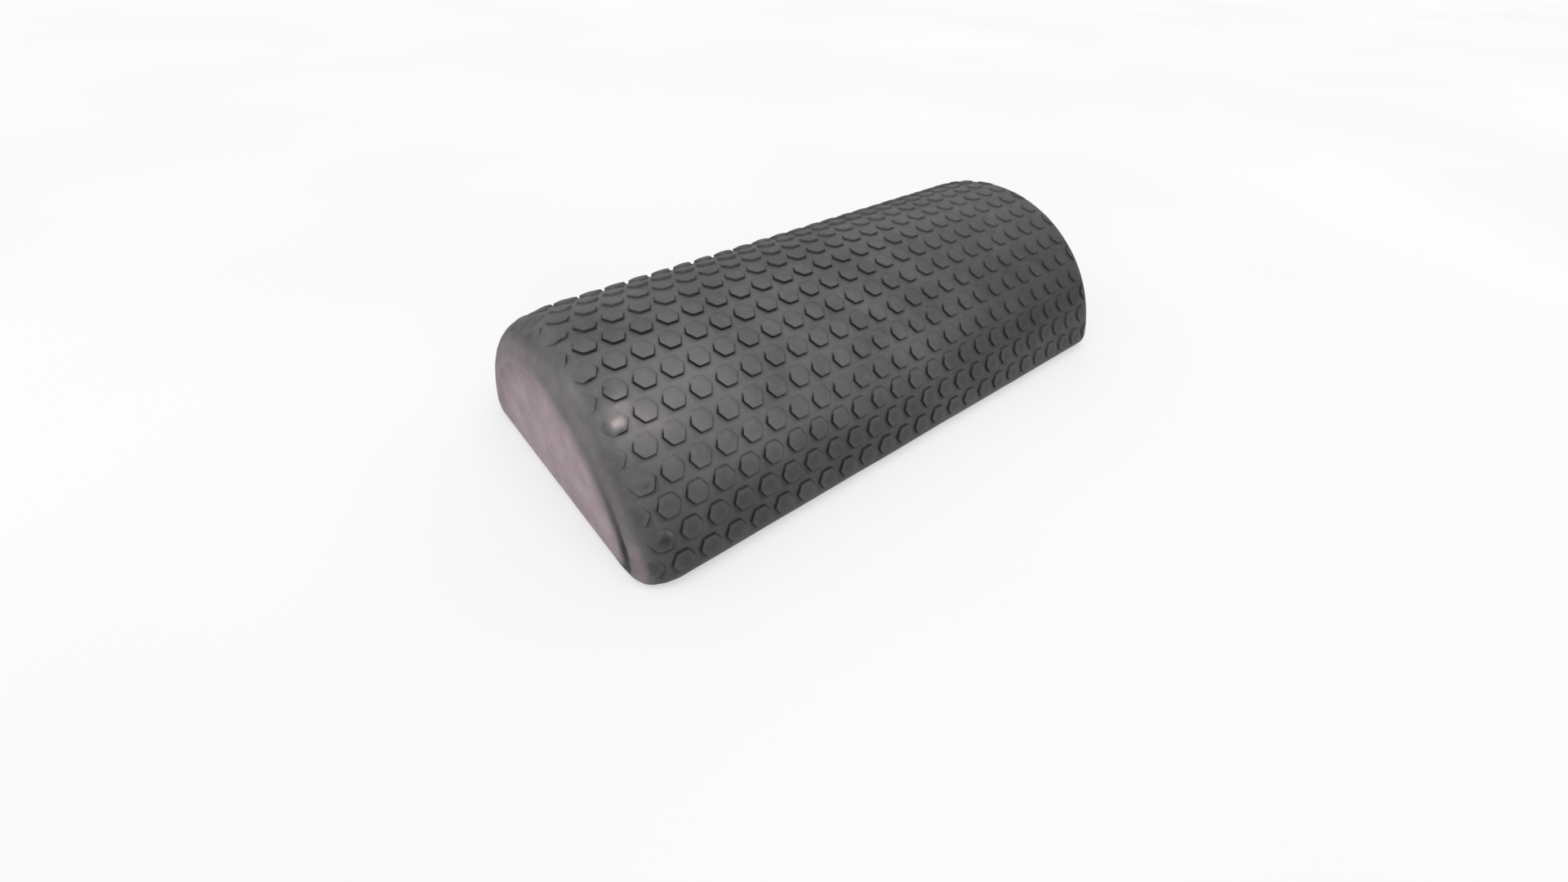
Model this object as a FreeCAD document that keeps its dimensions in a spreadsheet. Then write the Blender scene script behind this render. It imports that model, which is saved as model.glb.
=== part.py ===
import FreeCAD, Part
import math
import os

import Sketcher
from FreeCAD import Placement, Rotation, Vector

# Half-round foam roller (balance pad), millimetres.
# +X runs along the roller towards its crisper end, +Z is up, and the origin is on the
# floor at the middle of the flat underside. The pieces, from the inside out:
#   foam_core        light foam log that carries the load
#   base_sheet       flat sheet let in under the core
#   end_pad_front    flat pad set in the softly rolled end
#   end_pad_rear     flat pad set in the crisper end
#   textured_skin    studded skin moulded round the arc, both shoulders and the base edge

SIZES = [
    ("length", 300.0, "overall length"),
    ("arc_radius", 76.5, "outer radius of the plain skin between the studs"),
    ("axis_drop", 2.7, "how far the centre of the arc lies below the underside"),
    ("front_roll", 16.0, "radius of the rolled shoulder at the front end"),
    ("rear_roll", 7.0, "radius of the rolled shoulder at the rear end"),
    ("base_edge", 6.0, "radius all round the underside"),
    ("skin_thick", 4.0, "thickness of the skin, the base sheet and the end pads"),
    ("sheet_inset", 1.0, "how far the base sheet stops short of the rounded base edge"),
    ("pad_inset", 1.0, "how far an end pad stops short of its rolled shoulder"),
    ("pad_corner", 5.0, "radius of an end pad's two lower corners"),
    ("stud_pitch", 12.05, "spacing of the studs along a row"),
    ("row_angle", 8.8, "angle between neighbouring rows, in degrees"),
    ("rows_per_side", 9, "rows on each side of the crest row"),
    ("stud_across", 9.6, "stud width from corner to corner"),
    ("stud_height", 1.2, "how far a stud stands out of the skin"),
    ("stud_root", 1.5, "how deep a stud's solid starts inside the skin"),
]

START, END, CENTRE = 1, 2, 3    # point numbers of a sketch element
ORIGIN = -1                     # the sketch's own origin
TOUCH = 1e-4                    # how close counts as the same place

doc = FreeCAD.newDocument("half_round_roller")
sheet = doc.addObject("Spreadsheet::Sheet", "dimensions")
for row, (alias, value, meaning) in enumerate(SIZES, start=1):
    sheet.set(f"A{row}", meaning)
    sheet.set(f"B{row}", str(value))
    sheet.setAlias(f"B{row}", alias)
doc.recompute()


def dim(alias):
    return float(sheet.get(alias))


def origin_plane(body, role):
    return next(feature for feature in body.Origin.OriginFeatures if feature.Role == role)


def new_body(label):
    body = doc.addObject("PartDesign::Body", label)
    body.Label = label
    return body


def new_sketch(body, name, role, shift=None):
    """Sketch on one of the body's origin planes; shift maps an offset's axis to a formula."""
    sketch = body.newObject("Sketcher::SketchObject", name)
    sketch.AttachmentSupport = [(origin_plane(body, role), "")]
    sketch.MapMode = "FlatFace"
    for axis, formula in (shift or {}).items():
        sketch.setExpression(f".AttachmentOffset.Base.{axis}", formula)
    return sketch


def constrain(sketch, kind, *where):
    return sketch.addConstraint(Sketcher.Constraint(kind, *where))


def bind(sketch, formula, kind, *where):
    """Add a sized constraint and tie its value to a formula of the sheet."""
    index = constrain(sketch, kind, *where, float(sketch.evalExpression(formula)))
    sketch.setExpression(f"Constraints[{index}]", formula)


def draw_rectangle(sketch, half_x, half_y):
    """Rectangle centred on the sketch's origin; half_x and half_y are formulas."""
    corners = [Vector(-1, -1), Vector(1, -1), Vector(1, 1), Vector(-1, 1)]
    lines = [Part.LineSegment(corners[i], corners[(i + 1) % 4]) for i in range(4)]
    sketch.addGeometry(lines, False)
    for i in range(4):
        constrain(sketch, "Coincident", i, END, (i + 1) % 4, START)
    for i, direction in enumerate(["Horizontal", "Vertical", "Horizontal", "Vertical"]):
        constrain(sketch, direction, i)
    constrain(sketch, "Symmetric", 0, START, 1, END, ORIGIN, START)
    bind(sketch, f"2 * ({half_x})", "DistanceX", 0, START, 0, END)
    bind(sketch, f"2 * ({half_y})", "DistanceY", 1, START, 1, END)


def draw_roller_profile(sketch, half_length, radius, front_roll, rear_roll):
    """Half section of a round roller above its axis, with a rounded corner at each end."""
    x, top, front, rear = 150.0, 76.0, 12.0, 5.0
    sketch.addGeometry([
        Part.LineSegment(Vector(-x, 0), Vector(x, 0)),
        Part.LineSegment(Vector(x, 0), Vector(x, top - rear)),
        Part.ArcOfCircle(Part.Circle(Vector(x - rear, top - rear), Vector(0, 0, 1), rear),
                         0, math.pi / 2),
        Part.LineSegment(Vector(x - rear, top), Vector(front - x, top)),
        Part.ArcOfCircle(Part.Circle(Vector(front - x, top - front), Vector(0, 0, 1), front),
                         math.pi / 2, math.pi),
        Part.LineSegment(Vector(-x, top - front), Vector(-x, 0)),
    ], False)
    axis, rear_face, rear_arc, top_line, front_arc, front_face = range(6)
    constrain(sketch, "Coincident", axis, END, rear_face, START)
    constrain(sketch, "Coincident", front_face, END, axis, START)
    constrain(sketch, "Tangent", rear_face, END, rear_arc, START)
    constrain(sketch, "Tangent", rear_arc, END, top_line, START)
    constrain(sketch, "Tangent", top_line, END, front_arc, START)
    constrain(sketch, "Tangent", front_arc, END, front_face, START)
    constrain(sketch, "Symmetric", axis, START, axis, END, ORIGIN, START)
    constrain(sketch, "Horizontal", axis)
    constrain(sketch, "Vertical", rear_face)
    constrain(sketch, "Vertical", front_face)
    constrain(sketch, "Horizontal", top_line)
    bind(sketch, f"2 * ({half_length})", "DistanceX", axis, START, axis, END)
    bind(sketch, radius, "DistanceY", axis, START, top_line, START)
    bind(sketch, front_roll, "Radius", front_arc)
    bind(sketch, rear_roll, "Radius", rear_arc)


def edges_at_height(shape, z):
    """Names of the edges that lie in the horizontal plane at z."""
    names = []
    for number, edge in enumerate(shape.Edges, start=1):
        box = edge.BoundBox
        if abs(box.ZMin - z) < TOUCH and abs(box.ZMax - z) < TOUCH:
            names.append(f"Edge{number}")
    return names


def make_log(label, inset):
    """Round roller cut flat at the underside; inset is a formula, the same on every side."""
    body = new_body(label)
    profile = new_sketch(body, label + "_profile", "XZ_Plane", {"y": "-dimensions.axis_drop"})
    draw_roller_profile(profile,
                        f"dimensions.length / 2 - {inset}",
                        f"dimensions.arc_radius - {inset}",
                        f"dimensions.front_roll - {inset}",
                        f"dimensions.rear_roll - {inset}")
    roller = body.newObject("PartDesign::Revolution", label + "_roller")
    roller.Profile = profile
    roller.ReferenceAxis = (profile, ["H_Axis"])
    roller.Angle = 360.0
    doc.recompute()
    whole = roller.Shape.Volume

    underside = new_sketch(body, label + "_underside", "XY_Plane", {"z": inset})
    draw_rectangle(underside, "dimensions.length", "dimensions.arc_radius * 2")
    cut = body.newObject("PartDesign::Pocket", label + "_cut")
    cut.Profile = underside
    cut.Type = "ThroughAll"
    doc.recompute()
    assert cut.Shape.Volume < 0.5 * whole, "the underside has to take away the lower half"

    level = float(underside.evalExpression(inset))
    rounding = body.newObject("PartDesign::Fillet", label + "_rounding")
    rounding.Base = (cut, edges_at_height(cut.Shape, level))
    rounding.setExpression("Radius", f"dimensions.base_edge - {inset}")
    doc.recompute()
    return body


def round_edges(body, feature, name, formula, keep):
    """Fillet those edges of feature that keep(edge) accepts."""
    names = [f"Edge{n}" for n, edge in enumerate(feature.Shape.Edges, start=1) if keep(edge)]
    rounding = body.newObject("PartDesign::Fillet", name)
    rounding.Base = (feature, names)
    rounding.setExpression("Radius", formula)
    doc.recompute()


def runs_along(edge, direction):
    """True for a straight edge parallel to direction."""
    if len(edge.Vertexes) != 2 or edge.Curve.TypeId != "Part::GeomLine":
        return False
    span = edge.Vertexes[1].Point - edge.Vertexes[0].Point
    return span.normalize().cross(direction).Length < TOUCH


def make_base_sheet(label):
    """Flat sheet that fills the underside inside the rounded base edge."""
    body = new_body(label)
    half_length = "dimensions.length / 2 - dimensions.base_edge - dimensions.sheet_inset"
    half_width = ("sqrt((dimensions.arc_radius - dimensions.base_edge)^2"
                  " - (dimensions.base_edge + dimensions.axis_drop)^2) - dimensions.sheet_inset")
    outline = new_sketch(body, label + "_outline", "XY_Plane")
    draw_rectangle(outline, half_length, half_width)
    plate = body.newObject("PartDesign::Pad", label + "_plate")
    plate.Profile = outline
    plate.setExpression("Length", "dimensions.skin_thick")
    doc.recompute()
    round_edges(body, plate, label + "_corners", "dimensions.front_roll - dimensions.base_edge",
                lambda edge: runs_along(edge, Vector(0, 0, 1)))
    return body


def make_end_pad(label, roll, face):
    """Flat D-shaped pad in an end; roll is its shoulder's radius and face where it starts in X."""
    body = new_body(label)
    outline = new_sketch(body, label + "_outline", "YZ_Plane",
                         {"y": "-dimensions.axis_drop", "z": face})
    radius, chord_height = 55.0, 9.0
    tilt = math.asin(chord_height / radius)
    reach = radius * math.cos(tilt)
    outline.addGeometry([
        Part.ArcOfCircle(Part.Circle(Vector(0, 0), Vector(0, 0, 1), radius), tilt, math.pi - tilt),
        Part.LineSegment(Vector(-reach, chord_height), Vector(reach, chord_height)),
    ], False)
    arc, chord = range(2)
    constrain(outline, "Coincident", arc, CENTRE, ORIGIN, START)
    constrain(outline, "Coincident", arc, END, chord, START)
    constrain(outline, "Coincident", chord, END, arc, START)
    constrain(outline, "Horizontal", chord)
    bind(outline, f"dimensions.arc_radius - {roll} - dimensions.pad_inset", "Radius", arc)
    bind(outline, "dimensions.axis_drop + dimensions.base_edge + dimensions.pad_inset",
         "DistanceY", ORIGIN, START, chord, START)
    plate = body.newObject("PartDesign::Pad", label + "_plate")
    plate.Profile = outline
    plate.setExpression("Length", "dimensions.skin_thick")
    doc.recompute()
    round_edges(body, plate, label + "_corners", "dimensions.pad_corner",
                lambda edge: runs_along(edge, Vector(1, 0, 0)))
    return body


def stud_centres():
    """(distance along X, angle from the crest in degrees) of each stud on the straight part."""
    half, pitch, side_rows = dim("length") / 2, dim("stud_pitch"), int(dim("rows_per_side"))
    straight_from = dim("front_roll") - half
    straight_to = half - dim("rear_roll")
    centres = []
    for row in range(-side_rows, side_rows + 1):
        stagger = pitch / 2 if row % 2 == 0 else 0.0
        first = math.ceil((straight_from - stagger) / pitch)
        last = math.floor((straight_to - stagger) / pitch)
        for column in range(first, last + 1):
            centres.append((column * pitch + stagger, row * dim("row_angle")))
    return centres


def make_studs(label):
    """Hexagonal studs, each with two corners along X, standing out along its own radius."""
    corner = dim("stud_across") / 2
    foot = dim("arc_radius") - dim("stud_root")
    rim = [Vector(corner * math.cos(math.radians(60 * k)),
                  corner * math.sin(math.radians(60 * k)), foot) for k in range(7)]
    hexagon = Part.Face(Part.makePolygon(rim))
    block = hexagon.extrude(Vector(0, 0, dim("stud_root") + dim("stud_height")))
    blocks = []
    for along, angle in stud_centres():
        stud = block.copy()
        stud.Placement = Placement(Vector(along, 0, -dim("axis_drop")),
                                   Rotation(Vector(1, 0, 0), angle))
        blocks.append(stud)
    studs = doc.addObject("Part::Feature", label)
    studs.Shape = Part.makeCompound(blocks)
    studs.Placement = Placement()
    return studs


def make_skin(label, outer, fillings, studs):
    """What is left of the outer log around its fillings, with the studs moulded on."""
    shell = outer
    for filling in fillings:
        cut = doc.addObject("Part::Cut", f"skin_without_{filling.Label}")
        cut.Base = shell
        cut.Tool = filling
        shell = cut
    skin = doc.addObject("Part::Fuse", label)
    skin.Label = label
    skin.Base = shell
    skin.Tool = studs
    doc.recompute()
    return skin


core = make_log("foam_core", "dimensions.skin_thick")
outer_log = make_log("outer_log", "0")
base_sheet = make_base_sheet("base_sheet")
end_pad_front = make_end_pad("end_pad_front", "dimensions.front_roll", "-dimensions.length / 2")
end_pad_rear = make_end_pad("end_pad_rear", "dimensions.rear_roll",
                            "dimensions.length / 2 - dimensions.skin_thick")
studs = make_studs("studs")
skin = make_skin("textured_skin", outer_log, [core, base_sheet, end_pad_front, end_pad_rear], studs)
doc.recompute()

for item in doc.Objects:
    if "Invalid" in item.State or "Error" in item.State:
        raise RuntimeError(f"{item.Label} failed: {item.State}")

PIECES = [core, base_sheet, end_pad_front, end_pad_rear, skin]
for piece in PIECES:
    if piece.Shape.isNull() or not piece.Shape.isValid():
        raise RuntimeError(f"{piece.Label} has no valid shape")
    if len(piece.Shape.Solids) != 1:
        raise RuntimeError(f"{piece.Label} has {len(piece.Shape.Solids)} solids")

os.makedirs("parts", exist_ok=True)
for piece in PIECES:
    piece.Shape.exportStep(f"parts/{piece.Label}.step")
    box = piece.Shape.BoundBox
    print(f"{piece.Label}: {piece.Shape.Volume / 1000:.1f} cm3, "
          f"{box.XLength:.1f} x {box.YLength:.1f} x {box.ZLength:.1f}")
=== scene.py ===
import math
import random
from typing import NamedTuple

import bmesh
import bpy
from mathutils import Matrix, Vector, noise


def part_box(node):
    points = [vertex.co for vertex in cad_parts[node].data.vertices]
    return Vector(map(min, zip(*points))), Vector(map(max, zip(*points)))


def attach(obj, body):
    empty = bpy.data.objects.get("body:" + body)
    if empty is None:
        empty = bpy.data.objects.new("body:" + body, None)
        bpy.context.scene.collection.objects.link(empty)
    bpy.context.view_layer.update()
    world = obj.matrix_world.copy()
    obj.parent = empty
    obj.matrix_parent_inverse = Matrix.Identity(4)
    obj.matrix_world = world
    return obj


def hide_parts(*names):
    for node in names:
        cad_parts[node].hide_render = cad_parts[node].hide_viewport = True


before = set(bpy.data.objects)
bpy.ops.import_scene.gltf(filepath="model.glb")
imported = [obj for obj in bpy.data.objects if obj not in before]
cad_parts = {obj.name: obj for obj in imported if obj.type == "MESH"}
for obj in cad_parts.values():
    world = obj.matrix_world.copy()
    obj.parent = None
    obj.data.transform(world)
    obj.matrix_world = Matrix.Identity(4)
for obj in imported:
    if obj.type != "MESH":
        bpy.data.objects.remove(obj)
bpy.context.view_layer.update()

# Half-round foam roller in metres, in the CAD's frame: +X runs towards the crisper (rear) end,
# the crest of the arc is up and the camera stands in front of the softly rolled end.

SKIN_LOW, SKIN_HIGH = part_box("textured_skin")
SHEET_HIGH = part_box("base_sheet")[1]

HALF = (SKIN_HIGH.x - SKIN_LOW.x) / 2
STUD_HEIGHT = 0.0012
AXIS_DROP = 0.0027                                # the arc's centre lies this far below the floor
ARC = SKIN_HIGH.z + AXIS_DROP - STUD_HEIGHT       # radius of the plain skin between the studs
FRONT_ROLL, REAR_ROLL = 0.016, 0.007              # radii of the rolled shoulders
BASE_EDGE = 0.006                                 # radius round the underside
END_CORNER = 0.005                                # radius of an end face's lower corners
SHEET_CORNER = FRONT_ROLL - BASE_EDGE             # radius of the base sheet's corners
THICK = 0.004                                     # wall of the skin
POCKET = 0.0038                                   # how deep the sheet and the pads are let in
LIP = 0.001                                       # rim of skin left round an end pad
UNDER_LIP = 0.0009                                # least strip beside the underside's middle
GAP = 0.0001                                      # clearance between pieces
PAD_GAP = 0.00001                                 # the end pads are pressed in more tightly

PITCH = 0.01205                                   # from stud to stud along a row
ROW_ANGLE = math.radians(8.8)
ROW = ARC * ROW_ANGLE                             # from row to row round the arc
SIDE_ROWS = 9                                     # rows on each side of the crest
STUD_CORNER = 0.0048                              # from a stud's centre to its corner
COLUMNS = 12                                      # the studded field is this many pitches each way

ACROSS, ROUND = 8, 4                              # mesh steps of one cell along X and round the arc
STEP_X, STEP_ROUND = PITCH / ACROSS, ROW / ROUND
FIELD_I = COLUMNS * ACROSS                        # mesh steps from the middle to the field's end
FIELD_J = SIDE_ROWS * ROUND + ROUND // 2          # and from the crest to its lower edge
SHOULDER_STEPS = {-1: 22, 1: 9}                   # mesh steps over the front and rear shoulders
CORNER_STEPS = 6                                  # mesh steps round a lower edge
UNDER_STEPS = 8                                   # mesh steps across the underside
CENTRE_HEIGHT = 0.4 * SKIN_HIGH.z                 # where the faces of an end plane meet

QUARTER = math.pi / 2
COS_30 = math.cos(math.radians(30))               # a hexagon's half width over its corner radius


# ---------------------------------------------------------------- shape of the roller

def smooth(low, high, value):
    """0 at low and before it, 1 at high and beyond, a smooth S between; low may be the larger."""
    t = min(max((value - low) / (high - low), 0.0), 1.0)
    return t * t * (3 - 2 * t)


def near(value, centre, reach):
    """1 at centre, falling smoothly to 0 at that distance from it."""
    return 1 - smooth(0, reach, abs(value - centre))


def ripple(point, size, seed=0.0):
    """Smooth noise from -1 to 1 with bumps of about that size."""
    return noise.noise(Vector(point) / size + Vector((seed, -seed, 2 * seed)))


def rows_down(along):
    """Rows from the crest down the camera's side; negative on the far side."""
    return -along / ROW


class Section:
    """Cross-section of the roller at one place along X."""

    def __init__(self, x, roll, turn, inset=0.0):
        """roll is the shoulder's radius and turn how far it has rolled over at x, from 0 to a
        right angle. inset shrinks the roller all round."""
        self.x, self.turn = x, turn
        self.side = -1 if x < 0 else 1
        self.radius = ARC - inset - roll * (1 - math.cos(turn))
        from_end = max(HALF - inset - abs(x), 0.0)
        edge = BASE_EDGE - inset
        lift = edge - math.sqrt(edge ** 2 - (edge - from_end) ** 2) if from_end < edge else 0.0
        self.floor = inset + lift
        self.set_corner(edge - (BASE_EDGE - END_CORNER) * lift / edge)

    def set_corner(self, corner):
        """Finds where the arc runs into a lower corner of that radius."""
        self.corner = corner
        height = self.floor + corner + AXIS_DROP
        self.corner_y = math.sqrt((self.radius - corner) ** 2 - height ** 2)
        self.corner_start = math.atan2(self.corner_y, height)

    def place(self, along):
        """Point, outward normal and share of the lower corner passed. along is the distance
        round from the crest, as measured on the straight part, positive towards +Y."""
        sign, reach = (1, along) if along >= 0 else (-1, -along)
        share = 0.0
        if reach <= ARC_REACH:
            angle = reach / ARC_REACH * self.corner_start
            y = self.radius * math.sin(angle)
            z = self.radius * math.cos(angle) - AXIS_DROP
        else:
            share = min((reach - ARC_REACH) / CORNER_REACH, 1.0)
            angle = self.corner_start + share * (math.pi - self.corner_start)
            y = self.corner_y + self.corner * math.sin(angle)
            z = self.floor + self.corner + self.corner * math.cos(angle)
        tip = math.cos(self.turn)
        normal = Vector((self.side * math.sin(self.turn), sign * math.sin(angle) * tip,
                         math.cos(angle) * tip))
        return Vector((self.x, sign * y, z)), normal, share


def section_at(x, inset=0.0):
    """Section of the straight part, or of a shoulder by its distance along X."""
    roll = (FRONT_ROLL if x < 0 else REAR_ROLL) - inset
    past = abs(x) - (HALF - inset - roll)
    return Section(x, roll, math.asin(min(past / roll, 1.0)) if past > 0 else 0.0, inset)


def section_on_shoulder(side, turn, inset=0.0):
    """Section of a shoulder by how far it has rolled over."""
    roll = (FRONT_ROLL if side < 0 else REAR_ROLL) - inset
    return Section(side * (HALF - inset - roll * (1 - math.sin(turn))), roll, turn, inset)


MIDDLE = section_at(0.0)
ARC_REACH = ARC * MIDDLE.corner_start             # round the arc from the crest to a lower corner
CORNER_REACH = BASE_EDGE * (math.pi - MIDDLE.corner_start)
ROUND_END = ARC_REACH + CORNER_REACH
# Distances round to the lower edge's vertices, from the field's last line to the underside.
EDGE_ALONGS = [FIELD_J * STEP_ROUND + (ROUND_END - FIELD_J * STEP_ROUND) * k / CORNER_STEPS
               for k in range(CORNER_STEPS + 1)]


def sheet_half_width(x):
    """Half width of the base sheet's outline, a rectangle with round corners."""
    past = min(max(abs(x) - (SHEET_HIGH.x - SHEET_CORNER), 0.0), SHEET_CORNER)
    return SHEET_HIGH.y - SHEET_CORNER + math.sqrt(SHEET_CORNER ** 2 - past ** 2)


def pad_outline(side, alongs, shrink=0.0):
    """Loop round an end pad's edge: over the arc from -Y to +Y, then back along the bottom."""
    section = section_on_shoulder(side, QUARTER)
    section.radius -= LIP + shrink
    section.floor += LIP + shrink
    section.set_corner(END_CORNER)
    loop = [section.place(a)[0] for a in alongs]
    wide = section.corner_y
    loop += [Vector((section.x, wide - 2 * wide * (k / UNDER_STEPS), section.floor))
             for k in range(UNDER_STEPS + 1)]
    return loop


# ---------------------------------------------------------------- tones of the skin and the ends

# Places near the front end are (distance in from the end, rows down the camera's side). Each
# mark, worn place and painted light alike, is a share of the tone, then the centre and the reach
# each way.
SCUFFS = [(0.14, (0.0150, 3.90), (0.0090, 1.00)),      # halo round the scuffed stud
          (0.20, (0.0230, 4.40), (0.0090, 0.80)),      # trail past the next studs
          (0.20, (0.0165, 3.55), (0.0040, 0.50)),      # rubbed ground beside it
          (0.95, (0.0120, 4.03), (0.0026, 0.22))]      # the bare pink spot on its top
PALE_WEAR_AND_LIGHT = [(0.30, (0.0053, 2.4), (0.0030, 1.6)),     # smear on the shoulder
             (0.25, (0.0150, 3.9), (0.0090, 1.0)),     # round the scuffed stud
             (0.30, (0.0440, 3.6), (0.0500, 3.4))]     # painted light: a broad lighter band over the front rows
SCUFFED_STUD, SUNKEN_STUD = (0.0116, 4), (0.0122, 8)   # two studs of the first column
DIM_FROM, DIM_TO = -0.2 * HALF, 0.733 * HALF      # along X painted shade grows towards the rear, as the light dies away
CREASE_TURN = math.radians(77)                    # where the front shoulder is folded in
PLAIN_TONE = (0.3, 0.0, 0.0, 0.0)                 # a little mauve, in the pockets
TINY = 1e-6                                       # guards the division at a stud's centre


def end_mauve(depth, along):
    """The skin's grey gives way to mauve over the shoulder, farther out on the far side. depth is
    the distance in from the arc."""
    far = smooth(-0.25, 0.3, along / ARC_REACH)
    return smooth(0.0095 - 0.007 * far, 0.0235 - 0.004 * far, depth)


def end_shade(depth, along):
    """Painted shade: the front end turns darker towards the arc, from the crest round to the far side.
    """
    return 0.40 * smooth(0.0325, 0.0105, depth) * smooth(2.2, -2.6, rows_down(along))


def crease_share(down):
    """The fold runs along the camera's side of the front shoulder, down to the lower corner."""
    return smooth(4.2, 8.6, down) * (1 - 0.6 * smooth(9.6, 10.8, down))


def shoulder_depth(turn):
    """Distance in from the arc on the front shoulder."""
    return FRONT_ROLL * (1 - math.cos(turn))


def wear_and_light(marks, inward, down):
    """Sum of a list of marks at one place: worn places, and a band of painted light."""
    return sum(share * near(inward, centre[0], reach[0]) * near(down, centre[1], reach[1])
               for share, centre, reach in marks)


def from_stud(inward, along, place):
    """Offsets along X and round the arc from a stud's place, and the distance."""
    dx, dy = inward - place[0], along + place[1] * ROW
    return dx, dy, math.hypot(dx, dy)


def lumpiness(inward, down):
    """Where the first column's moulding is lumpy."""
    return near(inward, 0.0110, 0.0075) * near(down, 4.5, 6.5)


def front_mauve(along, turn):
    """The end's mauve, more of it low on the shoulder and in a band where the end begins."""
    lowness = abs(along) / ARC_REACH
    if rows_down(along) < 0:
        low = 0.55 * smooth(0.55, 0.92, lowness) * smooth(0.1, 0.9, turn)
    else:
        low = 0.5 * smooth(0.80, 0.93, lowness) * smooth(0.66, 1.0, turn)
    band = 0.2 * smooth(0.76, 1.05, turn) * smooth(1.4, 1.05, turn)
    return end_mauve(shoulder_depth(turn), along) + low + band


def front_shade(x, along, turn):
    """Darkening that only the front half has, summed from its separate dark places. All but the
    patch in the first column are painted shade.
    """
    inward, down = HALF + x, rows_down(along)
    # painted shade over the front end, darker towards the arc
    end = end_shade(shoulder_depth(turn), along) * smooth(0.3, 0.9, turn)
    # painted shadow in a crescent below the scuffed stud
    dx, dy, away = from_stud(inward, along, SCUFFED_STUD)
    crescent = 0.5 * near(away, 0.0036, 0.0013) * smooth(-0.3, 0.6, -(dx + dy) / max(away, TINY))
    # a darker patch in the first column, rows 4 to 8
    column = 0.2 * near(inward, 0.0048, 0.0052) * smooth(4.2, 5.1, down) * smooth(8.5, 7.4, down)
    # painted shade in the fold, with a softer halo round it
    fold = 0.65 * near(turn, CREASE_TURN, math.radians(13))
    fold += 0.2 * near(turn, CREASE_TURN, math.radians(26))
    # painted shade low on the shoulder, by the lower corner
    low_shoulder = 0.3 * smooth(7.5, 9.0, down) * smooth(0.6, 1.0, turn)
    # painted shade in the sunken stud's dent
    sunken = 0.4 * near(from_stud(inward, along, SUNKEN_STUD)[2], 0.0, 0.0026)
    # blotches of painted shade over the lumpy band
    lumps = 0.5 * lumpiness(inward, down) * max(ripple((x, along, 0.0), 0.0032, 6.0) - 0.1, 0.0)
    return end + crescent + column + fold * crease_share(down) + low_shoulder + sunken + lumps


def front_pale(x, along):
    """Pale tone of the front half: the worn places with a broad band of painted light, a painted
    highlight on the sunken stud's upper rim, and blotches of painted light over the lumpy band.
    """
    inward, down = HALF + x, rows_down(along)
    # painted highlight on the upper rim of the sunken stud
    rim_radius = 0.003
    dy, away = from_stud(inward, along, SUNKEN_STUD)[1:]
    rim = 0.5 * near(away, rim_radius, 0.0011) * smooth(-0.2, 0.6, dy / rim_radius)
    # blotches of painted light over the lumpy band
    lumps = 0.4 * lumpiness(inward, down) * max(ripple((x, along, 0.0), 0.0040, 8.0) - 0.1, 0.0)
    return wear_and_light(PALE_WEAR_AND_LIGHT, inward, down) + rim + lumps


def skin_tone(x, along, turn, wall, ground):
    """Shares of mauve, pink scuff, painted shade, and pale worn places with painted light in the
    skin's colour at a place. wall is the painted shade of a stud there, and ground is true
    between the studs."""
    down = rows_down(along)
    lowness = abs(along) / ARC_REACH
    mauve = scuff = pale = 0.0
    shade = wall
    if x < 0:
        mauve = front_mauve(along, turn)
        scuff = wear_and_light(SCUFFS, HALF + x, down)
        shade += front_shade(x, along, turn)
        pale = front_pale(x, along)
    shade += 0.48 * smooth(0.61, 0.90, lowness) * smooth(0.9, 0.5, turn)     # painted shade on the lowest rows
    flank = smooth(0.15, 0.5, lowness) * smooth(0.9, 0.7, lowness)
    shade += 0.50 * smooth(DIM_FROM, DIM_TO, x) * flank       # painted shade on the middle rows towards the rear
    streak = ripple((x + 0.9 * along, (along - 0.9 * x) / 5, 0.0), 0.012, 4.0)
    pale += 0.16 * max(streak, 0.0) * near(down, 4.0, 4.0)
    # painted light on the ground between the studs
    pale += 0.03 * ground
    return [min(max(v, 0.0), 1.0) for v in (mauve, scuff, shade, pale)]


def pad_tone(p, side):
    """The skin's four tones for a place on an end pad, with painted shade on the front one."""
    depth = ARC - math.hypot(p.y, p.z + AXIS_DROP)
    if side > 0:
        depth += FRONT_ROLL - REAR_ROLL
    low = smooth(0.020, 0.010, p.z)
    along = ARC * math.atan2(p.y, p.z + AXIS_DROP)
    shade = end_shade(depth, along) if side < 0 else 0.0
    return [end_mauve(depth, along) * (1 - low) + 0.9 * low, 0.0, shade, 0.0]


# ---------------------------------------------------------------- the studs

class Ring(NamedTuple):
    """A line of vertices round a stud."""

    grow: float       # how far outside the hexagon it lies
    share: float      # share of the stud's height
    wall: float       # share of the painted shade on the wall
    push: float       # how far the soft upper flank moves it outwards
    keep: float       # share of its height that it keeps on that flank


RINGS = [Ring(0.00075, 0.0, 0.0, 0.0002, 1.0),         # out on the ground
         Ring(0.00012, 0.03, 1.0, 0.0007, 2.5),        # foot of the wall
         Ring(0.00003, 0.88, 1.0, 0.0001, 0.52),       # top of the wall
         Ring(-0.00012, 0.99, 0.15, -0.0003, 0.72),    # rounded edge
         Ring(-0.0006, 1.0, 0.0, 0.0, 0.8),            # rim of the top
         Ring(-0.0024, 1.0, 0.0, 0.0, 1.0)]            # round the dish
CORNER_EASE = 1 / COS_30 - 1  # a 120 degree corner loses this share of its rounding radius
HEXAGON_STEPS = 4             # mesh steps along one side of the hexagon


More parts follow.
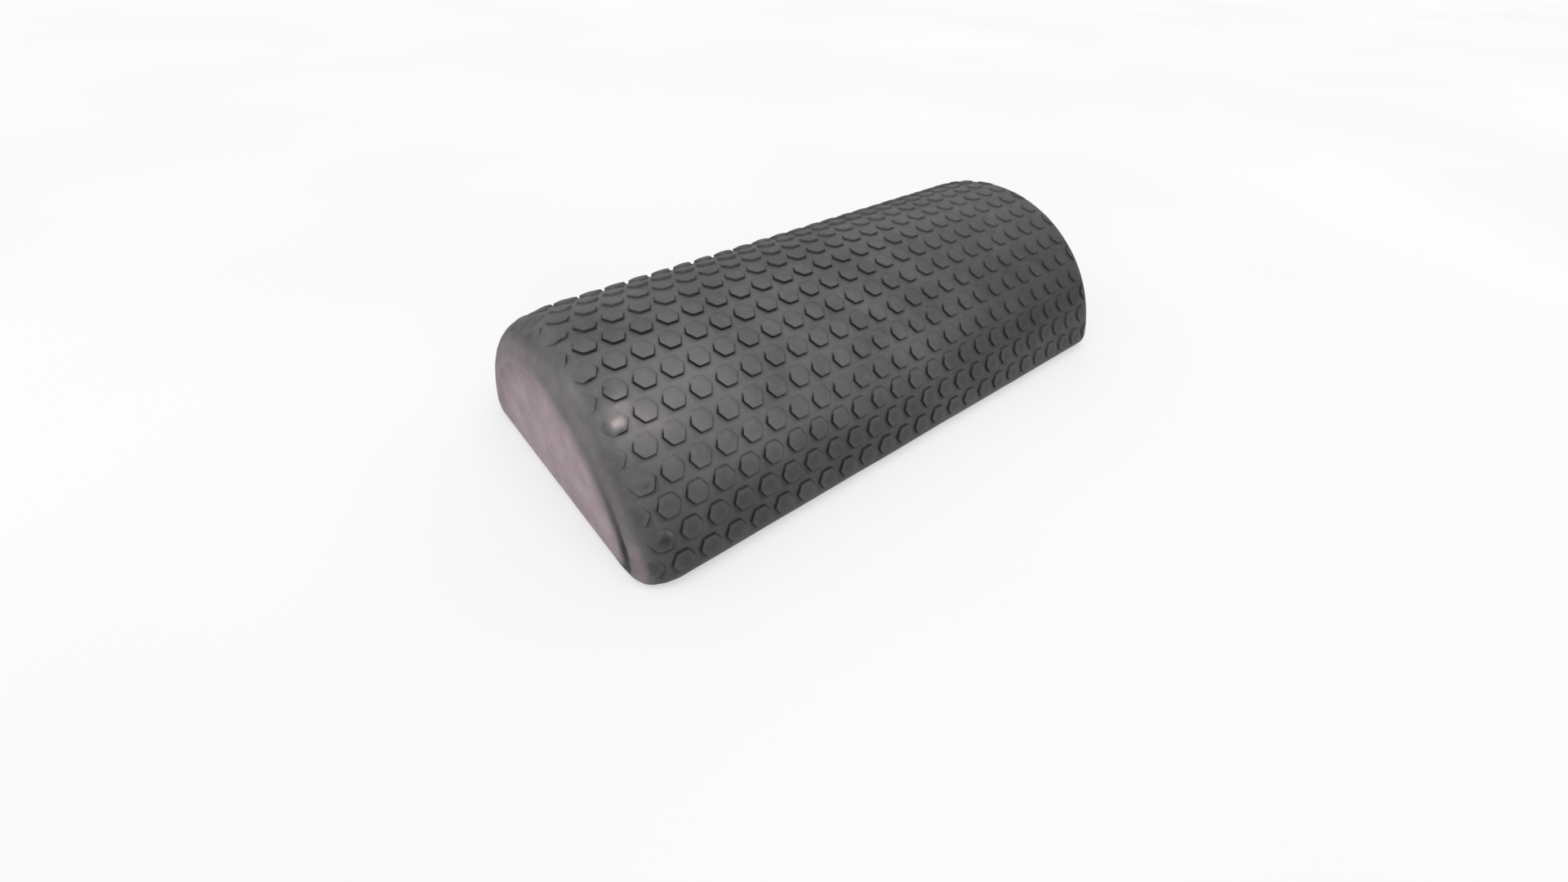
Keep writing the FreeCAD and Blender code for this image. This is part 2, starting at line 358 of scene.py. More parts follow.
def hexagon_ring(grow, rounding):
    """Points round a hexagon from its +X corner; its corners are eased."""
    radius = STUD_CORNER + grow / COS_30
    corners = [Vector((math.cos(math.radians(60 * k)), math.sin(math.radians(60 * k)))) * radius
               for k in range(7)]
    points = []
    for k in range(6):
        for step in range(HEXAGON_STEPS):
            point = corners[k].lerp(corners[k + 1], step / HEXAGON_STEPS)
            points.append(point if step else point * (1 - CORNER_EASE * rounding / radius))
    return points


def cell_border():
    """Mesh steps round a cell from the middle of its +X side, counted from its centre."""
    i, j = ACROSS // 2, ROUND // 2
    return ([(i, n) for n in range(0, j)] + [(n, j) for n in range(i, -i, -1)]
            + [(-i, n) for n in range(j, -j, -1)] + [(n, -j) for n in range(-i, i)]
            + [(i, n) for n in range(-j, 0)])


def stud_fade(x):
    """The studs sink into the front shoulder and, over a shorter way, into the rear one."""
    return smooth(0.0030, 0.0115, HALF + x) * smooth(0.0030, 0.0105, HALF - x)


class Stud:
    """Where one stud stands and how it differs from the next."""

    def __init__(self, row, i_centre):
        """row counts from the crest towards +Y, i_centre in mesh steps along X."""
        draw = random.Random(1000 * row + i_centre)
        self.x, self.along = i_centre * STEP_X, row * ROW
        self.down = rows_down(self.along)
        self.nearer = smooth(-7, -4, self.down)        # 0 only low on the far side
        self.at_end = abs(i_centre) == FIELD_I         # a half stud at the field's end
        self.height = STUD_HEIGHT * draw.uniform(0.93, 1.04)
        self.dish = draw.uniform(0.0, 0.06) + smooth(4, 9, abs(row)) * draw.uniform(0.10, 0.28)
        self.lean = Vector((draw.uniform(-1, 1), draw.uniform(-1, 1))) * 0.00006
        self.rounding = draw.uniform(0.0006, 0.0012)
        self.dent = draw.uniform(0.0002, 0.0008)
        self.squash = smooth(0.0170, 0.0125, HALF + self.x)    # the first column is ill moulded
        self.seed = draw.uniform(0, 50)

    def surface(self, offset, share, wall, push=0.0, keep=1.0):
        """x, along, height and painted shade at an offset from the stud's centre, and whether that is
        between the studs. The other values are as in a Ring. lower runs from -1 at the upper
        side, as the camera sees it, to 1, and below is 1 over the lower half."""
        lower = -(offset.y + 0.55 * offset.x) / STUD_CORNER
        if not self.at_end:                       # the upper flank runs out gently
            slope = self.nearer * smooth(8, 6, self.down) * smooth(0.2, -0.5, lower)
            offset = offset + offset.normalized() * slope * push
            share *= 1 - slope * (1 - keep)
        x, along = self.x + offset.x, self.along + offset.y
        fade = self.fade(x, offset)
        below = smooth(-0.3, 0.5, (0.1 * offset.x - 0.9 * offset.y) / STUD_CORNER)
        height = self.top(offset, share) * fade
        if self.squash > 0:
            if share > 0:
                height = self.squashed(height, x, along, offset.length, below)
            wall = self.rough_wall(x, along, wall + 0.3 * (share == 0), below) * fade
        elif share == 0:
            # painted shadow on the ground below the stud's lower side
            wall = 0.32 * self.nearer * smooth(0.1, 0.8, lower)
        else:                                     # painted shade on the upper walls is faint
            faint = 0.02 + 0.4 * smooth(5.5, 7.5, self.down)
            wall *= 1 - self.nearer * (1 - faint) * smooth(0.2, -0.4, lower)
        # less painted shade towards the rear and past the crest
        wall *= (1 - 0.75 * smooth(DIM_FROM, DIM_TO, x)) * (1 - 0.85 * smooth(1.5, -3.0, self.down))
        return x, along, height, wall + self.dip_shade(offset), share == 0

    def fade(self, x, offset):
        """How much of the stud is moulded at a place."""
        fade = stud_fade(x)
        if self.at_end and x < 0:                 # only the tip of a half stud is
            fade *= smooth(0.0004, 0.0038, offset.x)
        return fade * (1 - 0.85 * smooth(0.028, 0.012, HALF + x) * smooth(0.0, -2.0, self.down))

    def top(self, offset, share):
        """Height before fading. Past the crest the tops are fuller."""
        height = self.height * share
        if share > 0.8:
            fuller = smooth(-1.0, -3.0, self.down) * smooth(-7.0, -5.5, self.down)
            height += 0.0007 * fuller * (1 - min(offset.length / STUD_CORNER, 1.0) ** 2)
        return height

    def squashed(self, height, x, along, from_centre, below):
        """Height of an ill moulded stud: uneven, run out at its upper side, dented in the middle."""
        height *= 1 - self.squash * (0.1 + 0.5 * ripple((x, along, 0.0), 0.004, self.seed))
        height *= 1 - 0.7 * self.squash * (1 - below) * smooth(0.0015, 0.004, from_centre)
        return height - self.squash * self.dent * near(from_centre, 0.0005, 0.0035)

    def rough_wall(self, x, along, wall, below):
        """Painted shade on an ill moulded stud's wall: broken up, and only on its lower side."""
        rough = max(0.65 + 0.9 * ripple((x, along, 0.0), 0.0035, self.seed + 9), 0.1)
        rough *= 1 + 0.8 * smooth(4.0, 5.0, self.down)
        return wall * rough * (1 - self.squash + self.squash * below)

    def dip_shade(self, offset):
        """Painted shade in the dished tops of the low rows and in the arc where a squashed one sank."""
        low = smooth(5, 8.5, abs(self.down))
        dip = 0.16 * low * smooth(0.0036, 0.0024, offset.length)
        if self.squash > 0 and self.down > 4.5:
            arc_radius = 0.0027
            arc = near(offset.length, arc_radius, 0.0011)
            dip += 0.6 * self.squash * arc * smooth(-0.3, 0.6, (0.5 * offset.x - offset.y) / arc_radius)
        return dip


def rear_stud(x, along):
    """Height and painted shade, as shares, of the odd rows' last studs on the rear shoulder."""
    row = round(along / ROW)
    if x < 0 or row % 2 == 0 or abs(row) > SIDE_ROWS:
        return 0.0, 0.0
    dx, dy = abs(x - COLUMNS * PITCH), abs(along - row * ROW)
    outside = max(dy, dy / 2 + dx * COS_30) - STUD_CORNER * COS_30
    fade = stud_fade(x)
    return fade * (1 - smooth(-0.0002, 0.0003, outside)), 0.8 * fade * near(outside, 0.0002, 0.0006)


# ---------------------------------------------------------------- the skin

LUMPS_REACH = 0.022                               # the front shoulder is lumpy this far in


def skin_offset(base, share, turn, down):
    """Unevenness of the moulded skin: slow waves, and lumps and a fold on the front shoulder."""
    offset = 0.00016 * ripple(base, 0.035) + 0.00005 * ripple(base, 0.010, 7.0)
    inward = HALF + base.x
    if inward < LUMPS_REACH:
        lumps = smooth(LUMPS_REACH, 0.010, inward) * (1 - 0.7 * smooth(0.005, 0.0, inward))
        lumps *= 1 - 0.7 * smooth(-1, -4, down)
        offset += lumps * (0.00050 * ripple(base, 0.008, 3.0) + 0.00045 * ripple(base, 0.0036, 5.0))
        groove = near(turn, CREASE_TURN, math.radians(12))
        swell = near(turn, CREASE_TURN - math.radians(14), math.radians(10))
        offset += (0.0004 * swell - 0.0008 * groove) * crease_share(down)
    return offset * (1 - smooth(0.4, 1.0, share))


class SkinMesh:
    """Collects the vertices and faces of the skin's outer surface."""

    def __init__(self):
        self.points, self.tones, self.faces = [], [], []
        self.border = {}                          # (mesh steps along X, round) -> vertex
        self.ends = {-1: {}, 1: {}}               # distance round -> vertex, at the field's ends

    def add(self, x, along, height=0.0, wall=0.0, ground=False, section=None):
        """Vertex on the moulded surface, at a height above the plain skin."""
        section = section or section_at(x)
        base, normal, share = section.place(along)
        offset = skin_offset(base, share, section.turn, rows_down(along))
        self.points.append(base + normal * (height + offset))
        self.tones.append(skin_tone(section.x, along, section.turn, wall, ground))
        return len(self.points) - 1

    def add_plain(self, point, tone=PLAIN_TONE):
        self.points.append(Vector(point))
        self.tones.append(list(tone))
        return len(self.points) - 1

    def at_border(self, i, j):
        """Vertex that neighbouring cells share."""
        if (i, j) not in self.border:
            along = j * STEP_ROUND
            self.border[i, j] = self.add(i * STEP_X, along, ground=True)
            if abs(i) == FIELD_I:
                self.ends[1 if i > 0 else -1][along] = self.border[i, j]
        return self.border[i, j]

    def stitch(self, one, other, closed=False):
        """Quads between two lines of vertices that match one to one."""
        count = len(one)
        for k in range(count if closed else count - 1):
            n = (k + 1) % count
            self.faces.append((one[k], one[n], other[n], other[k]))

    def fan(self, line, tip, closed=False):
        """Triangles from a line of vertices to one vertex."""
        for k in range(len(line) if closed else len(line) - 1):
            self.faces.append((line[k], line[(k + 1) % len(line)], tip))

    def add_cell(self, row, i_centre):
        """One cell of the field with its stud; a cell centred on an end of the field is half."""
        stud = Stud(row, i_centre)
        border = cell_border()
        order, end = list(range(len(border))), 0
        if stud.at_end:
            end = 1 if i_centre > 0 else -1
            start = len(order) // 4 * (1 if end > 0 else 3)
            order = [(start + k) % len(border) for k in range(len(border) // 2 + 1)]
        lean = Vector((0.0, 0.0)) if end else stud.lean
        line = [self.at_border(i_centre + border[k][0], row * ROUND + border[k][1]) for k in order]
        for ring in RINGS:
            hexagon = hexagon_ring(ring.grow, stud.rounding)
            share = ring.share - (0.8 * stud.dish if ring is RINGS[-1] else 0.0)
            inner = [self.add(*stud.surface(hexagon[k] + lean * share, share, ring.wall, ring.push,
                                            ring.keep)) for k in order]
            if end:
                for vertex, k in ((inner[0], order[0]), (inner[-1], order[-1])):
                    self.ends[end][stud.along + hexagon[k].y] = vertex
            self.stitch(line, inner, closed=not end)
            line = inner
        top = self.add(*stud.surface(Vector((0.0, 0.0)), 1 - stud.dish, 0.0))
        if end:
            self.ends[end][stud.along] = top
        self.fan(line, top, closed=not end)


class Station:
    """Where the skin's mesh crosses the roller at one place along X: the vertices of its two
    lower edges, each from the field's last line to the underside, and of its underside."""

    def __init__(self, section, low, high, i=None):
        """low and high are where the lower edges start, at -Y and +Y; i counts mesh steps."""
        self.section, self.i = section, i
        self.left, self.right = [low], [high]
        self.under = None                         # right across, where there's no pocket
        self.roof = None                          # across the pocket's roof
        self.mouth = None                         # the pocket's two lower edges

    def add_edges(self, mesh):
        for line, sign in ((self.left, -1), (self.right, 1)):
            line.extend(mesh.add(self.section.x, sign * a, section=self.section)
                        for a in EDGE_ALONGS[1:])

    def add_under(self, mesh):
        """The underside, with the pocket for the base sheet."""
        last_i = int(SHEET_HIGH.x / STEP_X) + 1
        pocketed = self.i is not None and abs(self.i) <= last_i
        closing = pocketed and abs(self.i) == last_i
        # The pocket ends between two mesh steps.
        x = math.copysign(SHEET_HIGH.x + GAP, self.i) if closing else self.section.x
        line = []
        if closing or not pocketed:
            wide = min(SHEET_HIGH.y - SHEET_CORNER, self.section.corner_y - UNDER_LIP)
            mauve = 0.25 + 0.7 * smooth(0.007, 0.002, HALF - abs(self.section.x))
            tone = (mauve, 0.0, 0.0, 0.0)
            line = [mesh.add_plain((x, y, self.section.floor), tone) for y in spread(wide)]
            self.under = [self.left[-1]] + line + [self.right[-1]]
        if pocketed:
            wide = sheet_half_width(x)
            self.roof = [mesh.add_plain((x, y, POCKET)) for y in spread(wide)]
            if closing:
                mesh.stitch(line, self.roof)
                self.mouth = line[0], line[-1]
            else:
                self.mouth = mesh.add_plain((x, -wide, 0.0)), mesh.add_plain((x, wide, 0.0))


def spread(wide):
    """Places across the underside from -wide to wide."""
    return [-wide + 2 * wide * k / UNDER_STEPS for k in range(UNDER_STEPS + 1)]


def add_shoulder(mesh, side):
    """Rolls the field's end over to the end plane. Gives the stations passed and the last line."""
    alongs = sorted(mesh.ends[side])
    line = [mesh.ends[side][a] for a in alongs]
    roll = FRONT_ROLL if side < 0 else REAR_ROLL
    first = math.asin(1 - (HALF - COLUMNS * PITCH) / roll)
    stations = []
    for k in range(1, SHOULDER_STEPS[side] + 1):
        section = section_on_shoulder(side, first + (QUARTER - first) * k / SHOULDER_STEPS[side])
        fresh = []
        for a in alongs:
            share, wall = rear_stud(section.x, a)
            fresh.append(mesh.add(section.x, a, STUD_HEIGHT * share, wall, section=section))
        mesh.stitch(line, fresh)
        line = fresh
        stations.append(Station(section, line[0], line[-1]))
    return stations, line


def add_underside(mesh, stations):
    """Lower edges and underside along the whole length."""
    for station in stations:
        station.add_edges(mesh)
    for station in stations:
        station.add_under(mesh)
    for one, other in zip(stations, stations[1:]):
        mesh.stitch(one.left, other.left)
        mesh.stitch(one.right, other.right)
        if one.under and other.under:
            mesh.stitch(one.under, other.under)
        if one.mouth and other.mouth:
            mesh.stitch((one.left[-1], one.mouth[0]), (other.left[-1], other.mouth[0]))
            mesh.stitch((one.mouth[1], one.right[-1]), (other.mouth[1], other.right[-1]))
            mesh.stitch((one.mouth[0], *one.roof, one.mouth[1]),
                        (other.mouth[0], *other.roof, other.mouth[1]))


def add_end_plane(mesh, side, station, outline):
    """The rim of an end and the pocket for its pad."""
    loop = station.left[:0:-1] + outline + station.right[1:] + station.under[-2:0:-1]
    alongs = [-a for a in EDGE_ALONGS[:0:-1]] + sorted(mesh.ends[side]) + EDGE_ALONGS[1:]
    mouth = pad_outline(side, alongs)
    depth = side * POCKET
    lip = [mesh.add_plain(p, pad_tone(p, side)) for p in mouth]
    ground = [mesh.add_plain(p - Vector((depth, 0, 0)), pad_tone(p, side)) for p in mouth]
    mesh.stitch(loop, lip, closed=True)
    mesh.stitch(lip, ground, closed=True)
    centre = mesh.add_plain((side * HALF - depth, 0, CENTRE_HEIGHT))
    mesh.fan(ground, centre, closed=True)


def build_skin():
    """Outer surface of the skin, with the pockets for the sheet and the pads."""
    mesh = SkinMesh()
    for row in range(-SIDE_ROWS, SIDE_ROWS + 1):
        half = 0 if row % 2 else ACROSS // 2      # every second row is shifted by half a pitch
        for column in range(-COLUMNS, COLUMNS + (1 if row % 2 else 0)):
            mesh.add_cell(row, column * ACROSS + half)
    front, front_outline = add_shoulder(mesh, -1)
    rear, rear_outline = add_shoulder(mesh, 1)
    field = [Station(section_at(i * STEP_X), mesh.at_border(i, -FIELD_J), mesh.at_border(i, FIELD_J), i)
             for i in range(-FIELD_I, FIELD_I + 1)]
    stations = front[::-1] + field + rear
    add_underside(mesh, stations)
    add_end_plane(mesh, -1, stations[0], front_outline)
    add_end_plane(mesh, 1, stations[-1], rear_outline)
    return mesh


# ---------------------------------------------------------------- plain solids

def solid(name, points, faces, tones=None, void=None):
    """Mesh object with outward normals; void is a (points, faces) shell left empty inside."""
    data = bpy.data.meshes.new(name)
    data.from_pydata([tuple(p) for p in points], [], faces)
    shape = bmesh.new()
    shape.from_mesh(data)
    bmesh.ops.recalc_face_normals(shape, faces=shape.faces)
    if void:
        fresh = [shape.verts.new(p) for p in void[0]]
        hollow = [shape.faces.new([fresh[k] for k in face]) for face in void[1]]
        bmesh.ops.recalc_face_normals(shape, faces=hollow)
        bmesh.ops.reverse_faces(shape, faces=hollow)
    shape.to_mesh(data)
    shape.free()
    if tones:
        tones = tones + [[0.0, 0.0, 0.0, 0.0]] * (len(data.vertices) - len(tones))
        layer = data.color_attributes.new("tone", "FLOAT_COLOR", "POINT")
        for item, tone in zip(layer.data, tones):
            item.color = tone
    data.shade_smooth()
    data.set_sharp_from_angle(angle=math.radians(50))
    piece = bpy.data.objects.new(name, data)
    bpy.context.scene.collection.objects.link(piece)
    return piece


def tube_faces(rings, size):
    """Quads of a tube whose points are numbered ring after ring."""
    faces = []
    for start in range(0, (rings - 1) * size, size):
        for k in range(size):
            n = (k + 1) % size
            faces.append((start + k, start + n, start + size + n, start + size + k))
    return faces


def fan_faces(start, size, tip):
    """Triangles that close a ring of points with one more point."""
    return [(start + k, start + (k + 1) % size, tip) for k in range(size)]


def log_shell(inset):
    """Points and faces of the plain roller, shrunk by inset all round."""
    shoulder_steps, arc_steps, corner_steps = 6, 28, 3
    straight_steps, straight_half = 10, 0.12
    sections = [section_on_shoulder(-1, QUARTER * (1 - k / shoulder_steps), inset)
                for k in range(shoulder_steps + 1)]
    sections += [section_at(k / straight_steps * straight_half, inset)
                 for k in range(-straight_steps, straight_steps + 1)]
    sections += [section_on_shoulder(1, QUARTER * k / shoulder_steps, inset)
                 for k in range(shoulder_steps + 1)]
    corner = [ARC_REACH + CORNER_REACH * k / corner_steps for k in range(1, corner_steps + 1)]
    arc = [ARC_REACH * (2 * k / arc_steps - 1) for k in range(arc_steps + 1)]
    alongs = [-a for a in reversed(corner)] + arc + corner
    points = [section.place(a)[0] for section in sections for a in alongs]
    count = len(alongs)
    faces = tube_faces(len(sections), count)
    faces += [tuple(range(count)), tuple(range(len(points) - count, len(points)))]
    return points, faces


def build_pad(name, side):
    """Foam plate let into an end: eased rim, slightly uneven face, flat back."""
    steps = 72
    alongs = [ROUND_END * (2 * k / steps - 1) for k in range(steps + 1)]
    centre = Vector((side * HALF, 0.0, CENTRE_HEIGHT))
    back = POCKET - GAP
    rings = []
    for shrink, sink in ((PAD_GAP, back), (PAD_GAP, 0.00002), (0.0002, 0.0), (0.0009, 0.0)):
        rings.append([p - Vector((side * sink, 0, 0)) for p in pad_outline(side, alongs, shrink)])
    rim = rings[-1]
    for scale in (0.97, 0.92, 0.84, 0.74, 0.62, 0.5, 0.38, 0.26, 0.14):
        ring = [centre.lerp(p, scale) for p in rim]
        for q in ring:
            uneven = 0.00022 * ripple(q, 0.016, 9.0) + 0.00012 * ripple(q, 0.006, 2.0)
            q.x += side * (uneven - 0.00012)
        rings.append(ring)
    points = [p for ring in rings for p in ring] + [centre, centre - Vector((side * back, 0, 0))]
    size, front_tip, back_tip = len(rim), len(points) - 2, len(points) - 1
    faces = tube_faces(len(rings), size)
    faces += fan_faces((len(rings) - 1) * size, size, front_tip) + fan_faces(0, size, back_tip)
    return solid(name, points, faces, [pad_tone(p, side) for p in points])


def build_sheet(name):
    """Dense foam sheet let into the underside, its lower rim eased."""
    last_i = int(SHEET_HIGH.x / STEP_X)
    xs = [i * STEP_X for i in range(-last_i, last_i + 1)]
    xs = [-SHEET_HIGH.x] + xs + [SHEET_HIGH.x]
    rings = []
    for shrink, z in ((GAP, POCKET - GAP), (GAP, 0.0007), (0.0003, 0.0002), (0.0009, 0.0)):
        squeeze = 1 - shrink / SHEET_HIGH.x
        line = [Vector((x * squeeze, sheet_half_width(x) - shrink, z)) for x in xs]
        rings.append(line + [Vector((p.x, -p.y, p.z)) for p in reversed(line)])
    size = len(rings[0])
    faces = tube_faces(len(rings), size)
    for start in (0, (len(rings) - 1) * size):
        for k in range(len(xs) - 1):
            faces.append((start + k, start + k + 1, start + size - 2 - k, start + size - 1 - k))
    return solid(name, [p for ring in rings for p in ring], faces)


# ---------------------------------------------------------------- materials

class Nodes:
    """Short way to build a material's node tree."""

    MIX_ONE, MIX_OTHER, MIX_RESULT = 6, 7, 2      # a Mix node's sockets for colours

    def __init__(self, name):
        self.material = bpy.data.materials.new(name)
        self.material.use_nodes = True
        self.tree = self.material.node_tree
        self.bsdf = self.tree.nodes["Principled BSDF"]
        self.where = self.add("ShaderNodeNewGeometry").outputs["Position"]

    def add(self, kind, **values):
        node = self.tree.nodes.new(kind)
        for key, value in values.items():
            setattr(node, key, value)
        return node

    def link(self, source, target):
        """Feeds a socket from another one, or with a number or a colour."""
        if isinstance(source, (int, float, tuple)):
            target.default_value = source
        else:
            self.tree.links.new(source, target)

    def noise(self, size, detail=2.0, roughness=0.5):
        """Noise from 0 to 1 with grains of about that size in metres."""
        node = self.add("ShaderNodeTexNoise")
        self.link(self.where, node.inputs["Vector"])
        self.link(1 / size, node.inputs["Scale"])
        self.link(detail, node.inputs["Detail"])
        self.link(roughness, node.inputs["Roughness"])
        return node.outputs["Fac"]

    def cells(self, size):
        """Foam cells of about that size: distance from the middle of each."""
        node = self.add("ShaderNodeTexVoronoi")
        self.link(self.where, node.inputs["Vector"])
        self.link(1 / size, node.inputs["Scale"])
        return node.outputs["Distance"]

    def span(self, value, low, high, to_low=0.0, to_high=1.0):
        """Smoothly from to_low, where the value is low, to to_high, where it is high."""
        node = self.add("ShaderNodeMapRange", interpolation_type="SMOOTHSTEP")
        for name, number in (("Value", value), ("From Min", low), ("From Max", high),
                             ("To Min", to_low), ("To Max", to_high)):
            self.link(number, node.inputs[name])
        return node.outputs["Result"]

    def times(self, one, other):
        node = self.add("ShaderNodeMath", operation="MULTIPLY")
        self.link(one, node.inputs[0])
        self.link(other, node.inputs[1])
        return node.outputs[0]

    def mix(self, share, one, other):
        """A share of the other colour laid over the one."""
        node = self.add("ShaderNodeMix", data_type="RGBA")
        self.link(share, node.inputs["Factor"])
        self.link(one, node.inputs[self.MIX_ONE])
        self.link(other, node.inputs[self.MIX_OTHER])
        return node.outputs[self.MIX_RESULT]

    def tones(self):
        """The mesh's shares of mauve, scuff, painted shade, and pale worn places with painted light."""
        source = self.add("ShaderNodeAttribute", attribute_name="tone")
        split = self.add("ShaderNodeSeparateColor")
        self.link(source.outputs["Color"], split.inputs["Color"])
        return list(split.outputs) + [source.outputs["Alpha"]]

    def bump(self, layers):
        """Bump from (height source, metres) layers, one over the other."""
        before = None
        for height, depth in layers:
            node = self.add("ShaderNodeBump")
            self.link(height, node.inputs["Height"])
            self.link(depth, node.inputs["Distance"])
            if before:
                self.link(before, node.inputs["Normal"])
            before = node.outputs["Normal"]
        self.link(before, self.bsdf.inputs["Normal"])

    def finish(self, colour, roughness, specular=0.35):
        self.link(colour, self.bsdf.inputs["Base Color"])
        self.link(roughness, self.bsdf.inputs["Roughness"])
        self.link(specular, self.bsdf.inputs["Specular IOR Level"])
        return self.material


def tint(red, green, blue):
    """Colour of an sRGB value as shown, in linear light."""
    return tuple((v / 255 / 12.92 if v < 11 else ((v / 255 + 0.055) / 1.055) ** 2.4)
                 for v in (red, green, blue)) + (1.0,)


def grey(level):
    """Grey of that strength in linear light."""
    return (level, level, level, 1.0)


GREY_LIGHT, GREY_DARK = tint(96, 95, 95), tint(81, 81, 81)
# painted shade: the dark grey that the shade tone lays over the foam
PAINTED_SHADE_GREY = tint(28, 28, 28)
MAUVE, MAUVE_LIGHT, MAUVE_DARK = tint(152, 137, 141), tint(160, 144, 149), tint(141, 126, 130)
# PALE is laid on for pale worn places and for painted light
SCUFF, PALE = tint(192, 176, 178), tint(140, 139, 138)


def grey_colour(n):
    """Charcoal foam: wide soft clouds, then dull marks, faint flecks and dark specks."""
    colour = n.mix(n.span(n.noise(0.028, 3.0), 0.38, 0.66), GREY_DARK, GREY_LIGHT)
    colour = n.mix(n.span(n.noise(0.0045, 3.0), 0.42, 0.72, 0.0, 0.6), colour, GREY_DARK)
    colour = n.mix(n.span(n.noise(0.0028, 2.0, 0.6), 0.5, 0.72, 0.0, 0.7), colour, GREY_LIGHT)
    return n.mix(n.span(n.noise(0.0012, 2.0), 0.55, 0.75, 0.0, 0.3), colour, GREY_DARK)


def mauve_colour(n):
    """Cut mauve foam: pale and dark clouds, evened out in patches, with fine dark specks."""
    colour = n.mix(n.span(n.noise(0.014, 4.0, 0.6), 0.36, 0.66), MAUVE_DARK, MAUVE_LIGHT)
    colour = n.mix(n.span(n.noise(0.005, 3.0), 0.3, 0.7, 0.0, 0.6), colour, MAUVE)
    return n.mix(n.span(n.noise(0.0011, 2.0), 0.60, 0.74, 0.0, 0.25), colour, MAUVE_DARK)


def skin_material():
    n = Nodes("skin_foam_material")
    mauve, scuff, shade, pale = n.tones()
    cloud = n.noise(0.004, 3.0)
    mauve = n.times(mauve, n.span(cloud, 0.2, 0.8, 0.85, 1.15))
    scuff = n.times(scuff, n.span(n.noise(0.0025, 3.0), 0.25, 0.7, 0.7, 1.15))
    # pale worn places and painted light laid over the grey
    colour = n.mix(pale, grey_colour(n), PALE)
    colour = n.mix(mauve, colour, mauve_colour(n))
    colour = n.mix(scuff, colour, SCUFF)
    # painted shade laid over the colour
    colour = n.mix(shade, colour, PAINTED_SHADE_GREY)
    n.bump([(n.noise(0.0045, 2.0), 0.00030), (n.noise(0.0018, 3.0), 0.00012),
            (n.cells(0.0006), 0.00003)])
    return n.finish(colour, n.span(n.noise(0.01, 2.0), 0.3, 0.7, 0.56, 0.68))


def pad_material():
    n = Nodes("end_foam_material")
    mauve, _, shade, _ = n.tones()
    # painted shade laid over the end's colour
    colour = n.mix(shade, n.mix(mauve, grey_colour(n), mauve_colour(n)), PAINTED_SHADE_GREY)
    n.bump([(n.noise(0.006, 3.0), 0.00025), (n.cells(0.0009), 0.00006)])
    return n.finish(colour, n.span(n.noise(0.006, 2.0), 0.3, 0.7, 0.72, 0.84), 0.25)


def sheet_material():
    n = Nodes("base_foam_material")
    mauve = n.span(n.noise(0.05, 3.0), 0.4, 0.62, 0.0, 0.16)
    colour = n.mix(mauve, grey_colour(n), mauve_colour(n))
    n.bump([(n.noise(0.003, 3.0), 0.00012), (n.cells(0.0008), 0.00005)])
    return n.finish(colour, n.span(n.noise(0.02, 2.0), 0.3, 0.7, 0.66, 0.8), 0.3)


def core_material():
    n = Nodes("core_foam_material")
    n.bump([(n.cells(0.0012), 0.00012)])
    return n.finish(mauve_colour(n), n.span(n.noise(0.004, 2.0), 0.3, 0.7, 0.8, 0.9), 0.2)


def floor_material():
    n = Nodes("floor_material")
    colour = n.mix(n.span(n.noise(0.4, 2.0), 0.3, 0.7), grey(0.48), grey(0.51))
    n.bsdf.inputs["Emission Color"].default_value = grey(1.0)
    n.bsdf.inputs["Emission Strength"].default_value = 0.44
    return n.finish(colour, 0.9, 0.1)


# ---------------------------------------------------------------- pieces

skin = build_skin()
pieces = [                                        # piece, CAD node, slot, material, fill
    (solid("skin_foam", skin.points, skin.faces, skin.tones, log_shell(THICK)),
     "textured_skin", "skin_foam", skin_material(), 0.9),
    (build_sheet("base_sheet_foam"), "base_sheet", "base_foam", sheet_material(), 1.0),
    (build_pad("end_pad_front_foam", -1), "end_pad_front", "end_foam", pad_material(), 0.95),
    (build_pad("end_pad_rear_foam", 1), "end_pad_rear", "end_foam", pad_material(), 0.95),
    (solid("foam_core_block", *log_shell(THICK + GAP / 2)),
     "foam_core", "core_foam", core_material(), 1.0),
]
for piece, node, slot, material, fill in pieces:
    piece.data.materials.append(material)
    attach(piece, "root")
    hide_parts(node)


# ---------------------------------------------------------------- floor, light and camera

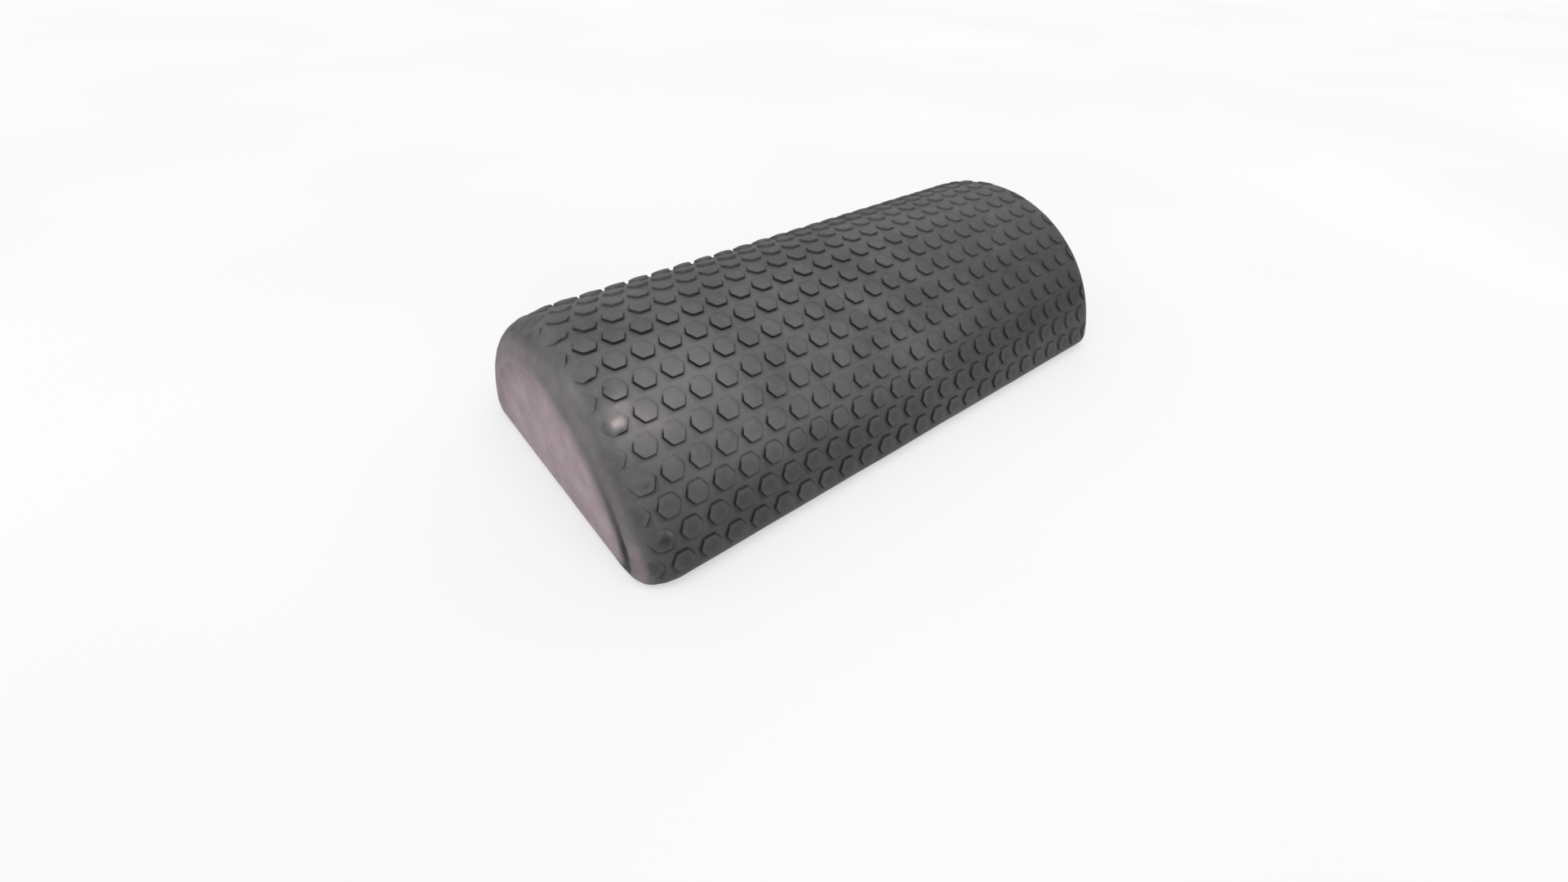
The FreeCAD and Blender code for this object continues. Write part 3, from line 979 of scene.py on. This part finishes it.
FLOOR_HALF, FLOOR_BELOW = 6.0, 0.0002
CAMERA_AT = Vector((-0.2172, -0.2239, 0.2189))
AZIMUTH, ELEVATION, CAMERA_ROLL = math.radians(-41.06), math.radians(35.58), math.radians(2.83)


def build_floor():
    data = bpy.data.meshes.new("floor")
    h = FLOOR_HALF
    data.from_pydata([(-h, -h, 0), (h, -h, 0), (h, h, 0), (-h, h, 0)], [], [(0, 1, 2, 3)])
    data.materials.append(floor_material())
    floor = bpy.data.objects.new("floor", data)
    floor.location.z = -FLOOR_BELOW
    bpy.context.scene.collection.objects.link(floor)
    return floor


def soft_sun(name, toward, strength, spread):
    """Even light from a direction, as from a large distant softbox."""
    data = bpy.data.lights.new(name, "SUN")
    data.energy, data.angle = strength, math.radians(spread)
    lamp = bpy.data.objects.new(name, data)
    lamp.rotation_mode = "QUATERNION"
    lamp.rotation_quaternion = (-Vector(toward)).to_track_quat("-Z", "Y")
    bpy.context.scene.collection.objects.link(lamp)


def build_camera():
    """Camera at the photo's angle, rolled a little about its line of sight."""
    forward = Vector((-math.sin(AZIMUTH) * math.cos(ELEVATION),
                      math.cos(AZIMUTH) * math.cos(ELEVATION), -math.sin(ELEVATION)))
    level = forward.cross(Vector((0, 0, 1))).normalized()
    above = level.cross(forward)
    right = level * math.cos(CAMERA_ROLL) + above * math.sin(CAMERA_ROLL)
    up = right.cross(forward)
    data = bpy.data.cameras.new("camera")
    data.sensor_width, data.lens = 36.0, 15.856
    data.shift_y = -0.0429
    data.clip_start, data.clip_end = 0.01, 20.0
    camera = bpy.data.objects.new("camera", data)
    camera.matrix_world = Matrix((right, up, -forward)).transposed().to_4x4()
    camera.location = CAMERA_AT
    bpy.context.scene.collection.objects.link(camera)
    return camera


build_floor()
scene = bpy.context.scene
scene.view_settings.view_transform = "Standard"
scene.world = bpy.data.worlds.new("studio")
scene.world.use_nodes = True
background = scene.world.node_tree.nodes["Background"]
background.inputs["Color"].default_value = grey(1.0)
background.inputs["Strength"].default_value = 0.55
soft_sun("key", toward=(-0.25, -0.35, 0.9), strength=1.55, spread=70)
soft_sun("face_light", toward=(-0.9, 0.1, 0.35), strength=0.5, spread=90)
scene.camera = build_camera()
